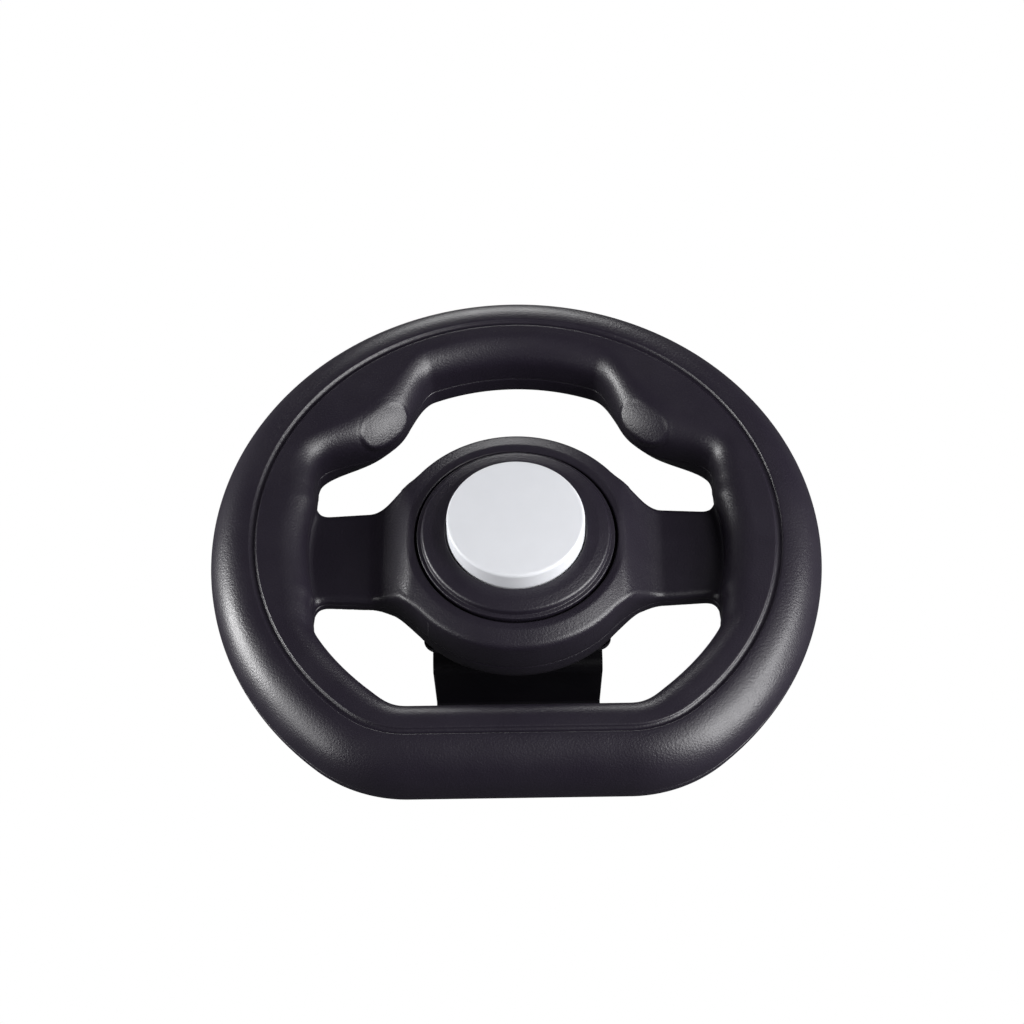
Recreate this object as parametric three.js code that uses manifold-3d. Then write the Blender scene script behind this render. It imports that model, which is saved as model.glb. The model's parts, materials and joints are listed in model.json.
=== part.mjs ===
// Play steering wheel with a squeaker horn button, standing on its bent steel bracket.
//
// Millimetres, +Z up. The wheel turns about an upright axle and its face looks up. The feet of
// the bracket stand on Z = 0, the flat bottom bar of the wheel lies towards -Y. Every piece is
// built round the axle, and the whole is then moved so that its outline is centred on the origin.

import * as THREE from "three";
import { mergeVertices } from "three/addons/utils/BufferGeometryUtils.js";
import Module from "manifold-3d";

const wasm = await Module();
wasm.setup();

// ---- Driving dimensions ------------------------------------------------------------------

// Wheel outline. Each ring of the rim is a D-shaped curve, named by its large radius.
const RIM_OUTER_R = 150;
const RIM_INNER_R = 109.3;
const GROOVE_R = 128;
const CREST_R = 122; // where the rim's face starts to round over into the windows
const CORNER_ARM = 81; // from the axle to the centre of each bottom corner's round
const FLAT_DROP = 19; // the bottom bar is this much nearer the axle than the round side
const AXLE_Y = -FLAT_DROP / 2;

// Heights. The bracket carries the wheel's back at BACK_Z, and the wheel is built up from there.
const BRACKET_HEIGHT = 38;
const BACK_Z = BRACKET_HEIGHT + 22;
const PART_Z = BACK_Z + 12.5; // where the two moulded shells meet
const FACE_Z = BACK_Z + 36;
const PARTING_GAP = 0.3;
const WALL = 3; // moulded wall thickness

// Rim section.
const OUTER_ROUND_Z = BACK_Z + 14; // the outer round runs from here up to the face
const INNER_ROUND_Z = FACE_Z - 13;
const BACK_OUTER_ROUND = 12;
const BACK_INNER_ROUND = 5;
const GROOVE_HALF_WIDTH = 1.6;
const GROOVE_DEPTH = 1.2;

// Thumb rests: bulges of the rim into the upper window, each with a raised oval pad.
const THUMB_TURN = 42.5; // degrees each side of the top of the wheel
const THUMB_SPAN = 19.5; // half of the bulge, in degrees
const THUMB_BULGE = 13.5;
const PAD_R = 99.5;
const PAD_Z = FACE_Z - 3.8;
const PAD_HALF_LENGTH = 15;
const PAD_HALF_WIDTH = 9.8;
const PAD_HALF_THICKNESS = 6;
const PAD_SUNK = 4.8; // the pad's middle lies this far below the shoulder it stands on
const PAD_TILT = 45;

// The window edge is a little fuller at the two bottom corners than the plain D.
const CORNER_TURN_FROM_TOP = 138;
const CORNER_SPAN = 35;
const CORNER_FULLNESS = 2;

// Hub and spokes.
const HUB_R = 61.8;
const HUB_EDGE_ROUND = 2.5;
const HUB_EDGE_Z = FACE_Z - 5.2;
const HUB_BACK_ROUND = 5;
const RECESS_R = 49.5;
const RECESS_EDGE_Z = FACE_Z - 3;
const LEDGE_R = 41;
const LEDGE_BOTTOM_Z = FACE_Z - 13;
const LEDGE_TOP_Z = LEDGE_BOTTOM_Z + 3.2;
const SPOKE_HALF_WIDTH = 24; // at the rim
const SPOKE_FLARE = 2.6; // wider at the hub, each side
const SPOKE_TOP_Z = FACE_Z - 19.2;
const SPOKE_BOTTOM_Z = BACK_Z + 7.3;
const SPOKE_RIM_FILLET = 10;
const SPOKE_HUB_FILLET = 18;
const RAMP_HEIGHT = 12;
const RAMP_REACH = 10;
const RIM_RAMP = 7; // the panel's round up to the rim

// Bearing and axle, M10.
const AXLE_R = 5;
const AXLE_TOP_Z = BACK_Z + 25.4;
const SLEEVE_R = 7;
const SLEEVE_TOP_Z = BACK_Z + 13.1;
const BUSH_R = 9.5;
const BUSH_FLANGE_R = 14.5;
const BUSH_FLANGE = 1.8;
const BUSH_LENGTH = 5.3; // below the flange
const BOSS_R = 16;
const BOSS_TOP_Z = BACK_Z + 11;
const SPACER_R = 13;
const SPACER_TOP_Z = BACK_Z - 3.5;
const HEX_CORNER_R = 9.8; // 17 mm across the flats
const BOLT_HEAD = 6.4;
const NUT_HEIGHT = 9.5;
const NUT_THREAD_R = 5.1;
const WASHER_R = 10.5;
const TOP_WASHER_R = 14;
const WASHER = 2;
const THRUST_WASHER = 1.5;
const AXLE_CLEARANCE = 0.3;
const RUNNING_GAP = 0.15;

// Bracket, 3 mm steel.
const SHEET = 3;
const BEND_INNER_R = 2.5;
const BRACKET_WIDTH = 84;
const FOOT_LENGTH = 26;
const FOOT_HOLE_R = 4.5;
const FOOT_HOLE_X = 28;
const FOOT_HOLE_Y = 57;

// Horn button, bezel and squeaker.
const CAP_R = 33.5;
const CAP_TOP_Z = FACE_Z + 14;
const CAP_UNDERSIDE_Z = CAP_TOP_Z - 2.8;
const CAP_FLANGE_R = 38; // wider than the bezel's hole, so the button can't come out
const CAP_FLANGE_TOP_Z = FACE_Z + 0.2;
const CAP_FLANGE_Z = CAP_FLANGE_TOP_Z - 2.3;
const CAP_EDGE_ROUND = 2;
const CAP_WALL = 2.5;
const PLUNGER_R = 8;
const PLUNGER_Z = CAP_UNDERSIDE_Z - 2;
const BEZEL_HOLE_R = 34.3;
const BEZEL_FLANGE_R = 48.2;
const BEZEL_INNER_R = 42.5;
const BEZEL_RIM_R = 45.9; // outer edge of the raised ring round the button
const BEZEL_SCREW_R = 45.1; // how far the bezel's screws stand from the axle
const SEAT_TOP_Z = LEDGE_TOP_Z + 2.8;
const SEAT_R = 47.6;
const SPRING_R = 22;
const SPRING_WIRE_R = 0.8;
const SPRING_TURNS = 4;
const SPRING_TOP_Z = CAP_UNDERSIDE_Z - 0.2;
const AIR_HOLE_R = 5.1; // through the squeaker plate, where the reed is pushed in
const BELLOWS_GUARD_R = 17.5;

// Shell screws, 4 x 20 self-tapping, driven from the back.
const SCREW_R = 1.9;
const SCREW_HEAD_R = 3.7;
const SCREW_HEAD = 2.6;
const SCREW_LENGTH = 20;
const SCREW_SEAT_Z = BACK_Z + 5.5;
const RIM_SCREW_R = 130;
const HUB_SCREW_R = 55.5;
const RIM_BOSS_R = 5;
const RIM_SEAT_BOSS_R = 6;
const HUB_BOSS_R = 3.6;
const HUB_SEAT_BOSS_R = 5.2;
const SCREW_CLEARANCE = 0.3;

// Bezel screws, 3 x 11, driven from inside the hub before the shells are closed.
const FINE_SCREW_R = 1.4;
const FINE_SCREW_HEAD_R = 3;
const FINE_SCREW_HEAD = 2;
const FINE_SCREW_LENGTH = 11;

// Stiffening ribs across the floor of the hub.
const RIB_HALF_LENGTH = 50;
const RIB_HALF_THICKNESS = 1.2;
const RIB_TOP_Z = BACK_Z + 9;

const ROUND = 32; // sides of a large turned piece
const SMALL_ROUND = 8; // sides of a screw
const DEG = Math.PI / 180;

// ---- Solids ------------------------------------------------------------------------------

function solidOf(geometry) {
  const bare = geometry.clone();
  bare.deleteAttribute("normal");
  bare.deleteAttribute("uv");
  const merged = mergeVertices(bare, 1e-4);
  const corners = [];
  const index = merged.index.array;
  for (let k = 0; k < index.length; k += 3) {
    const [a, b, c] = [index[k], index[k + 1], index[k + 2]];
    if (a !== b && b !== c && c !== a) corners.push(a, b, c);
  }
  return new wasm.Manifold(new wasm.Mesh({
    numProp: 3,
    vertProperties: new Float32Array(merged.attributes.position.array),
    triVerts: new Uint32Array(corners),
  }));
}

function geometryOf(solid) {
  const mesh = solid.getMesh();
  const geometry = new THREE.BufferGeometry();
  geometry.setAttribute("position", new THREE.BufferAttribute(new Float32Array(mesh.vertProperties), 3));
  geometry.setIndex(new THREE.BufferAttribute(new Uint32Array(mesh.triVerts), 1));
  geometry.computeVertexNormals();
  return geometry;
}

const joined = (first, ...others) => others.reduce((whole, piece) => whole.add(piece), first);
const cut = (first, ...others) => others.reduce((whole, piece) => whole.subtract(piece), first);

// A cylinder along Z between two heights.
function rod(radius, bottom, top, x = 0, y = 0, sides = ROUND) {
  const geometry = new THREE.CylinderGeometry(radius, radius, top - bottom, sides);
  geometry.rotateX(Math.PI / 2);
  geometry.translate(x, y, (bottom + top) / 2);
  return solidOf(geometry);
}

function block(x0, x1, y0, y1, z0, z1) {
  const geometry = new THREE.BoxGeometry(x1 - x0, y1 - y0, z1 - z0);
  geometry.translate((x0 + x1) / 2, (y0 + y1) / 2, (z0 + z1) / 2);
  return solidOf(geometry);
}

// A turned piece from a section of [radius, height] points, going up its outer side.
function turned(section, sides = ROUND) {
  const closed = section[0][0] === 0 ? section : [...section, section[0]];
  const points = closed.map(([r, z]) => new THREE.Vector2(r, z));
  const geometry = new THREE.LatheGeometry(points, sides);
  geometry.rotateX(Math.PI / 2);
  return solidOf(geometry);
}

// A washer, bush or tube.
const tube = (inner, outer, bottom, top, sides = ROUND) =>
  turned([[inner, bottom], [outer, bottom], [outer, top], [inner, top]], sides);

// Points of an arc, both ends included; angles in degrees.
function arc(cx, cy, rx, ry, from, to, steps) {
  const points = [];
  for (let k = 0; k <= steps; k += 1) {
    const angle = (from + ((to - from) * k) / steps) * DEG;
    points.push([cx + rx * Math.cos(angle), cy + ry * Math.sin(angle)]);
  }
  return points;
}

// ---- The D-shaped rim --------------------------------------------------------------------

const CORNER_Y = FLAT_DROP - CORNER_ARM;
const CORNER_X = Math.sqrt(CORNER_ARM ** 2 - CORNER_Y ** 2);
const CORNER_TURN = Math.atan2(CORNER_Y, CORNER_X) / DEG;

// Stations round the D. A ring of radius R passes each one at centre + (R - trim) * direction.
function outlineStations(arcSteps = 44, cornerSteps = 4, flatSteps = 2) {
  const stations = [];
  for (let k = 0; k <= arcSteps; k += 1) {
    const angle = CORNER_TURN + ((180 - 2 * CORNER_TURN) * k) / arcSteps;
    stations.push({ x: 0, y: 0, trim: 0, angle });
  }
  for (let k = 1; k <= cornerSteps; k += 1) {
    const angle = 180 - CORNER_TURN + ((90 + CORNER_TURN) * k) / cornerSteps;
    stations.push({ x: -CORNER_X, y: CORNER_Y, trim: CORNER_ARM, angle });
  }
  for (let k = 1; k <= flatSteps; k += 1) {
    const x = -CORNER_X + (2 * CORNER_X * k) / flatSteps;
    stations.push({ x, y: CORNER_Y, trim: CORNER_ARM, angle: 270 });
  }
  for (let k = 1; k < cornerSteps; k += 1) {
    const angle = 270 + ((90 + CORNER_TURN) * k) / cornerSteps;
    stations.push({ x: CORNER_X, y: CORNER_Y, trim: CORNER_ARM, angle });
  }
  return stations;
}

// How far the window edge stands in from the plain D at a station's angle.
function windowBulge(angle) {
  const fromTop = Math.min(Math.abs(angle - 90), 360 - Math.abs(angle - 90));
  const thumb = Math.abs(fromTop - THUMB_TURN) / THUMB_SPAN;
  if (thumb < 1) return THUMB_BULGE * (1 - thumb ** 2.6) ** 1.5;
  const corner = Math.abs(fromTop - CORNER_TURN_FROM_TOP) / CORNER_SPAN;
  return corner < 1 ? CORNER_FULLNESS * Math.cos(90 * corner * DEG) ** 2 : 0;
}

function ringPoint(station, radius, bulgeShare = 0) {
  const reach = radius - station.trim - bulgeShare * windowBulge(station.angle);
  return [
    station.x + reach * Math.cos(station.angle * DEG),
    station.y + reach * Math.sin(station.angle * DEG),
  ];
}

// A closed ring swept round the D from a section of [radius, height, share of the bulge].
function swept(section) {
  const stations = outlineStations();
  const positions = [];
  for (const station of stations) {
    for (const [radius, z, share] of section) positions.push(...ringPoint(station, radius, share), z);
  }
  const index = [];
  const count = section.length;
  for (let j = 0; j < stations.length; j += 1) {
    const here = j * count;
    const next = ((j + 1) % stations.length) * count;
    for (let i = 0; i < count; i += 1) {
      const up = (i + 1) % count;
      index.push(here + i, next + i, next + up, here + i, next + up, here + up);
    }
  }
  const geometry = new THREE.BufferGeometry();
  geometry.setAttribute("position", new THREE.BufferAttribute(new Float32Array(positions), 3));
  geometry.setIndex(index);
  return solidOf(geometry);
}

// The round from the rim's face down to the window edge, set in by the wall for the hollow.
function innerRound(wall, steps) {
  const width = CREST_R - RIM_INNER_R - wall;
  const height = FACE_Z - INNER_ROUND_Z - wall;
  return arc(0, 0, 1, 1, 90, 180, steps).map(([x, y]) => [
    CREST_R + width * x,
    INNER_ROUND_Z + height * y,
    1,
  ]);
}

const flatShare = ([radius, z]) => [radius, z, 0];

function rimSection() {
  const outer = arc(
    GROOVE_R + GROOVE_HALF_WIDTH, OUTER_ROUND_Z,
    RIM_OUTER_R - GROOVE_R - GROOVE_HALF_WIDTH, FACE_Z - OUTER_ROUND_Z, 0, 90, 5,
  );
  const groove = [[GROOVE_R, FACE_Z - GROOVE_DEPTH], [GROOVE_R - GROOVE_HALF_WIDTH, FACE_Z]];
  const backInner = arc(
    RIM_INNER_R + BACK_INNER_ROUND, BACK_Z + BACK_INNER_ROUND,
    BACK_INNER_ROUND, BACK_INNER_ROUND, 180, 270, 2,
  ).map(([radius, z]) => [radius, z, 1]);
  const backOuter = arc(
    RIM_OUTER_R - BACK_OUTER_ROUND, BACK_Z + BACK_OUTER_ROUND,
    BACK_OUTER_ROUND, BACK_OUTER_ROUND, 270, 360, 3,
  );
  return [...outer.map(flatShare), ...groove.map(flatShare), ...innerRound(0, 4), ...backInner,
    ...backOuter.map(flatShare)];
}

function rimHollowSection() {
  const outer = arc(
    GROOVE_R, OUTER_ROUND_Z, RIM_OUTER_R - WALL - GROOVE_R, FACE_Z - WALL - GROOVE_DEPTH - OUTER_ROUND_Z,
    0, 90, 3,
  );
  const floor = [[RIM_INNER_R + WALL, BACK_Z + WALL + 1, 1], [RIM_INNER_R + WALL + 1, BACK_Z + WALL, 1]];
  const backOuter = arc(
    RIM_OUTER_R - BACK_OUTER_ROUND, BACK_Z + BACK_OUTER_ROUND,
    BACK_OUTER_ROUND - WALL, BACK_OUTER_ROUND - WALL, 270, 360, 2,
  );
  return [...outer.map(flatShare), ...innerRound(WALL, 3), ...floor, ...backOuter.map(flatShare)];
}

// ---- Hub, spokes and thumb pads ----------------------------------------------------------

function hubBody() {
  const back = arc(
    HUB_R - HUB_BACK_ROUND, BACK_Z + HUB_BACK_ROUND, HUB_BACK_ROUND, HUB_BACK_ROUND, 270, 360, 3,
  );
  const edge = arc(
    HUB_R - HUB_EDGE_ROUND, HUB_EDGE_Z - HUB_EDGE_ROUND, HUB_EDGE_ROUND, HUB_EDGE_ROUND, 0, 90, 3,
  );
  return turned([[0, BACK_Z], ...back, ...edge, [RECESS_R, RECESS_EDGE_Z], [0, RECESS_EDGE_Z]]);
}

function hubHollow() {
  const inside = HUB_R - WALL;
  const under = HUB_EDGE_Z - WALL;
  return turned([
    [0, BACK_Z + WALL], [inside - HUB_BACK_ROUND, BACK_Z + WALL], [inside, BACK_Z + HUB_BACK_ROUND],
    [inside, under - WALL], [inside - WALL, under], [RECESS_R + WALL, under],
    [RECESS_R + WALL, LEDGE_BOTTOM_Z], [LEDGE_R, LEDGE_BOTTOM_Z], [LEDGE_R, LEDGE_TOP_Z],
    [RECESS_R, LEDGE_TOP_Z], [RECESS_R, RECESS_EDGE_Z + 1], [0, RECESS_EDGE_Z + 1],
  ]);
}

// Plan outline of one spoke, towards +X, with its fillets into the hub and the rim.
function spokeShape() {
  const rimCentreY = SPOKE_HALF_WIDTH + SPOKE_RIM_FILLET;
  const rimCentreX = Math.sqrt((RIM_INNER_R - SPOKE_RIM_FILLET) ** 2 - rimCentreY ** 2);
  const rimTurn = Math.atan2(rimCentreY, rimCentreX) / DEG;
  const hubCentreY = SPOKE_HALF_WIDTH + SPOKE_FLARE + SPOKE_HUB_FILLET;
  const hubCentreX = Math.sqrt((HUB_R + SPOKE_HUB_FILLET) ** 2 - hubCentreY ** 2);
  const hubTurn = Math.atan2(hubCentreY, hubCentreX) / DEG;
  const upper = [
    ...arc(0, 0, HUB_R - WALL, HUB_R - WALL, 0, hubTurn, 3),
    ...arc(hubCentreX, hubCentreY, SPOKE_HUB_FILLET, SPOKE_HUB_FILLET, 180 + hubTurn, 270, 4),
    ...arc(rimCentreX, rimCentreY, SPOKE_RIM_FILLET, SPOKE_RIM_FILLET, -90, rimTurn, 6),
    ...arc(0, 0, RIM_INNER_R + WALL, RIM_INNER_R + WALL, rimTurn, 0, 4),
  ];
  const lower = upper.slice(1, -1).reverse().map(([x, y]) => [x, -y]);
  const outline = [...upper, ...lower].reverse();
  return new THREE.Shape(outline.map(([x, y]) => new THREE.Vector2(x, y)));
}

function spokePrism(bottom, top) {
  const geometry = new THREE.ExtrudeGeometry(spokeShape(), { depth: top - bottom, bevelEnabled: false });
  geometry.translate(0, 0, bottom);
  return solidOf(geometry);
}

// The panel of a spoke, with a curved ramp up to the hub at one end and the rim at the other.
function spoke() {
  const low = SPOKE_TOP_Z - 1;
  const high = SPOKE_TOP_Z + RAMP_HEIGHT;
  const hubRamp = turned([
    [HUB_R - WALL, low], [HUB_R + RAMP_REACH, low],
    ...arc(HUB_R + RAMP_REACH, high, RAMP_REACH, RAMP_HEIGHT, 270, 180, 4), [HUB_R - WALL, high],
  ]);
  const rimHigh = SPOKE_TOP_Z + RIM_RAMP;
  const rimRamp = turned([
    [RIM_INNER_R - RIM_RAMP, low], [RIM_INNER_R + WALL, low], [RIM_INNER_R + WALL, rimHigh - 0.6],
    ...arc(RIM_INNER_R - RIM_RAMP, rimHigh, RIM_RAMP, RIM_RAMP, 355, 270, 4),
  ]);
  const ramps = hubRamp.add(rimRamp).intersect(spokePrism(low, high));
  return spokePrism(SPOKE_BOTTOM_Z, SPOKE_TOP_Z).add(ramps);
}

function thumbPad(side) {
  const geometry = new THREE.SphereGeometry(1, 20, 10);
  geometry.scale(PAD_HALF_WIDTH, PAD_HALF_LENGTH, PAD_HALF_THICKNESS);
  geometry.translate(0, 0, -PAD_SUNK);
  geometry.rotateY(-PAD_TILT * DEG);
  geometry.translate(PAD_R, 0, PAD_Z);
  geometry.rotateZ((90 + side * THUMB_TURN) * DEG);
  return solidOf(geometry);
}

// ---- Screw places ------------------------------------------------------------------------

const rimScrewSpots = [22.5, 67.5, 112.5, 157.5, 202.5, 247.5, 292.5, 337.5].map((angle) => {
  const onCorner = angle > 180 - CORNER_TURN && angle < 360 + CORNER_TURN;
  const side = angle < 270 ? -1 : 1;
  const station = onCorner
    ? { x: side * CORNER_X, y: CORNER_Y, trim: CORNER_ARM, angle }
    : { x: 0, y: 0, trim: 0, angle };
  return ringPoint(station, RIM_SCREW_R);
});

const onCircle = (radius, angle) => [radius * Math.cos(angle * DEG), radius * Math.sin(angle * DEG)];
const hubScrewSpots = [45, 135, 225, 315].map((angle) => onCircle(HUB_SCREW_R, angle));
const bezelScrewSpots = [0, 90, 180, 270].map((angle) => onCircle(BEZEL_SCREW_R, angle));

// A screw standing point up, its head below the seat.
function screw(radius, headRadius, head, length, seat) {
  return turned([
    [0, seat - head], [headRadius - 0.5, seat - head], [headRadius, seat], [radius, seat],
    [radius, seat + length - 2.5], [0, seat + length],
  ], SMALL_ROUND);
}

// ---- Wheel shells ------------------------------------------------------------------------

const BIG = 200;

// The whole moulded wheel, both shells, hollow inside.
function wheelBody() {
  const rightSpoke = spoke();
  const leftSpoke = rightSpoke.rotate([0, 0, 180]);
  const outside = joined(
    swept(rimSection()), hubBody(), rightSpoke, leftSpoke, thumbPad(1), thumbPad(-1),
  );
  const inside = SPOKE_HALF_WIDTH - WALL;
  const ends = RIM_INNER_R + WALL + 0.5;
  const channel = block(-ends, ends, -inside, inside, SPOKE_BOTTOM_Z + WALL, PART_Z + 0.5);
  return cut(outside, swept(rimHollowSection()), hubHollow(), channel);
}

function frontShell(body) {
  let shell = body.intersect(block(-BIG, BIG, -BIG, BIG, PART_Z + PARTING_GAP / 2, BIG));
  for (const [x, y] of rimScrewSpots) {
    shell = shell.add(rod(RIM_BOSS_R, PART_Z, FACE_Z - WALL, x, y, SMALL_ROUND));
  }
  for (const [x, y] of hubScrewSpots) {
    shell = shell.add(rod(HUB_BOSS_R, PART_Z, HUB_EDGE_Z - WALL + 1, x, y, SMALL_ROUND));
  }
  const pilotTop = SCREW_SEAT_Z + SCREW_LENGTH + 1;
  for (const [x, y] of [...rimScrewSpots, ...hubScrewSpots]) {
    shell = shell.subtract(rod(SCREW_R + RUNNING_GAP, PART_Z - 1, pilotTop, x, y, SMALL_ROUND));
  }
  for (const [x, y] of bezelScrewSpots) {
    const holeR = FINE_SCREW_R + SCREW_CLEARANCE;
    const hole = rod(holeR, LEDGE_BOTTOM_Z - 1, LEDGE_TOP_Z + 1, x, y, SMALL_ROUND);
    shell = shell.subtract(hole);
  }
  return shell;
}

function rearShell(body) {
  let shell = body.intersect(block(-BIG, BIG, -BIG, BIG, 0, PART_Z - PARTING_GAP / 2));
  for (const turn of [0, 60, 120]) {
    const rib = block(
      -RIB_HALF_LENGTH, RIB_HALF_LENGTH, -RIB_HALF_THICKNESS, RIB_HALF_THICKNESS, BACK_Z + 1, RIB_TOP_Z,
    );
    shell = shell.add(rib.rotate([0, 0, turn]));
  }
  shell = shell.add(rod(BOSS_R, BACK_Z, BOSS_TOP_Z));
  shell = shell.subtract(rod(BUSH_R + RUNNING_GAP, BACK_Z - 1, BOSS_TOP_Z + 1));
  for (const [x, y] of rimScrewSpots) {
    shell = shell.add(rod(RIM_SEAT_BOSS_R, BACK_Z + 1, PART_Z, x, y, SMALL_ROUND));
  }
  for (const [x, y] of hubScrewSpots) {
    shell = shell.add(rod(HUB_SEAT_BOSS_R, BACK_Z + 2, PART_Z, x, y, SMALL_ROUND));
  }
  for (const [x, y] of [...rimScrewSpots, ...hubScrewSpots]) {
    shell = shell.subtract(rod(SCREW_HEAD_R + 0.5, BACK_Z - 1, SCREW_SEAT_Z, x, y, SMALL_ROUND));
    shell = shell.subtract(rod(SCREW_R + SCREW_CLEARANCE, SCREW_SEAT_Z - 1, PART_Z + 1, x, y, SMALL_ROUND));
  }
  return shell;
}

// ---- Horn button, bezel and squeaker -----------------------------------------------------

function bezel() {
  let ring = turned([
    [BEZEL_INNER_R, SEAT_TOP_Z], [BEZEL_FLANGE_R - 0.5, SEAT_TOP_Z], [BEZEL_FLANGE_R, FACE_Z - 2.6],
    [BEZEL_FLANGE_R, FACE_Z - 1], [BEZEL_RIM_R + 0.3, FACE_Z - 0.8], [BEZEL_RIM_R, FACE_Z + 1],
    [BEZEL_RIM_R - 1.4, FACE_Z + 2.3], [BEZEL_HOLE_R + 0.6, FACE_Z + 4], [BEZEL_HOLE_R, FACE_Z + 3.4],
    [BEZEL_HOLE_R, FACE_Z + 1.2], [BEZEL_INNER_R, FACE_Z + 0.2],
  ]);
  for (const [x, y] of bezelScrewSpots) {
    ring = ring.subtract(rod(FINE_SCREW_R + RUNNING_GAP, SEAT_TOP_Z - 1, FACE_Z - 1.2, x, y, SMALL_ROUND));
  }
  return ring;
}

function hornButton() {
  return turned([
    [0, PLUNGER_Z], [PLUNGER_R, PLUNGER_Z], [PLUNGER_R, CAP_UNDERSIDE_Z],
    [CAP_R - CAP_WALL, CAP_UNDERSIDE_Z], [CAP_R - CAP_WALL, CAP_FLANGE_Z],
    [CAP_FLANGE_R, CAP_FLANGE_Z], [CAP_FLANGE_R, CAP_FLANGE_TOP_Z], [CAP_R, CAP_FLANGE_TOP_Z],
    ...arc(CAP_R - CAP_EDGE_ROUND, CAP_TOP_Z - CAP_EDGE_ROUND, CAP_EDGE_ROUND, CAP_EDGE_ROUND, 0, 90, 3),
    [0, CAP_TOP_Z],
  ]);
}

// Carries the bellows inside a low guard ring and the spring outside it.
function squeakerPlate() {
  const guardTop = SEAT_TOP_Z + 2;
  let plate = turned([
    [AIR_HOLE_R, LEDGE_TOP_Z], [SEAT_R, LEDGE_TOP_Z], [SEAT_R, SEAT_TOP_Z],
    [BELLOWS_GUARD_R + 2, SEAT_TOP_Z], [BELLOWS_GUARD_R + 2, guardTop], [BELLOWS_GUARD_R, guardTop],
    [BELLOWS_GUARD_R, SEAT_TOP_Z], [AIR_HOLE_R, SEAT_TOP_Z],
  ]);
  for (const [x, y] of bezelScrewSpots) {
    const hole = rod(FINE_SCREW_R + SCREW_CLEARANCE, LEDGE_TOP_Z - 1, SEAT_TOP_Z + 1, x, y, SMALL_ROUND);
    plate = plate.subtract(hole);
  }
  return plate;
}

// A rubber bellows, open at the bottom, closed at the top.
function squeakerBellows() {
  const folds = 4;
  const pitch = 3.5;
  const wall = 1.6;
  const ridge = 15.6;
  const valley = 12.4;
  const mouth = 9;
  const lip = 15;
  const up = [];
  const down = [];
  for (let k = 0; k < folds; k += 1) {
    const z = SEAT_TOP_Z + 1.5 + k * pitch;
    up.push([ridge, z], [valley, z + pitch / 2]);
    down.unshift([valley - wall, z + pitch / 2], [ridge - wall, z]);
  }
  const top = PLUNGER_Z - 0.2;
  return turned([
    [0, top - wall], ...down.slice(0, -1), [mouth, SEAT_TOP_Z + wall], [mouth, SEAT_TOP_Z],
    [lip, SEAT_TOP_Z], ...up, [valley, top], [0, top],
  ], 20);
}

// The whistle pushed into the plate's air hole, hanging by its flange.
function squeakerReed() {
  const airway = 1.5;
  const flange = 7.5;
  const shank = AIR_HOLE_R - SCREW_CLEARANCE;
  const top = SEAT_TOP_Z + 1.2;
  const bottom = LEDGE_TOP_Z + 0.3;
  return turned([
    [airway, bottom], [shank, bottom], [shank, SEAT_TOP_Z], [flange, SEAT_TOP_Z], [flange, top],
    [airway, top],
  ], 16);
}

class Helix extends THREE.Curve {
  getPoint(t, target = new THREE.Vector3()) {
    const angle = 2 * Math.PI * SPRING_TURNS * t;
    const low = SEAT_TOP_Z + SPRING_WIRE_R;
    const high = SPRING_TOP_Z - SPRING_WIRE_R;
    return target.set(SPRING_R * Math.cos(angle), SPRING_R * Math.sin(angle), low + (high - low) * t);
  }
}

function buttonSpring() {
  const sides = 6;
  const outline = arc(0, 0, SPRING_WIRE_R, SPRING_WIRE_R, 0, 360 - 360 / sides, sides - 1);
  const section = new THREE.Shape(outline.map(([x, y]) => new THREE.Vector2(x, y)));
  const geometry = new THREE.ExtrudeGeometry(section, {
    steps: SPRING_TURNS * 12, bevelEnabled: false, extrudePath: new Helix(),
  });
  return solidOf(geometry);
}

// ---- Axle and bracket --------------------------------------------------------------------

const hexagon = (bottom, top) => rod(HEX_CORNER_R, bottom, top, 0, 0, 6);

function axleBolt() {
  const headTop = BRACKET_HEIGHT - SHEET - WASHER;
  return hexagon(headTop - BOLT_HEAD, headTop).add(rod(AXLE_R, headTop, AXLE_TOP_Z, 0, 0, 24));
}

function lockNut() {
  const bottom = SLEEVE_TOP_Z + WASHER;
  return hexagon(bottom, bottom + NUT_HEIGHT).subtract(rod(NUT_THREAD_R, bottom - 1, AXLE_TOP_Z, 0, 0, 24));
}

function rearBush() {
  const inner = SLEEVE_R + RUNNING_GAP;
  const flange = BACK_Z - BUSH_FLANGE;
  const end = BACK_Z + BUSH_LENGTH;
  return turned([
    [inner, flange], [BUSH_FLANGE_R, flange], [BUSH_FLANGE_R, BACK_Z], [BUSH_R, BACK_Z],
    [BUSH_R, end], [inner, end],
  ]);
}

function frontBush() {
  const inner = SLEEVE_R + RUNNING_GAP;
  const flange = BOSS_TOP_Z + BUSH_FLANGE;
  const end = BOSS_TOP_Z - BUSH_LENGTH;
  return turned([
    [inner, end], [BUSH_R, end], [BUSH_R, BOSS_TOP_Z], [BUSH_FLANGE_R, BOSS_TOP_Z],
    [BUSH_FLANGE_R, flange], [inner, flange],
  ]);
}

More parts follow.
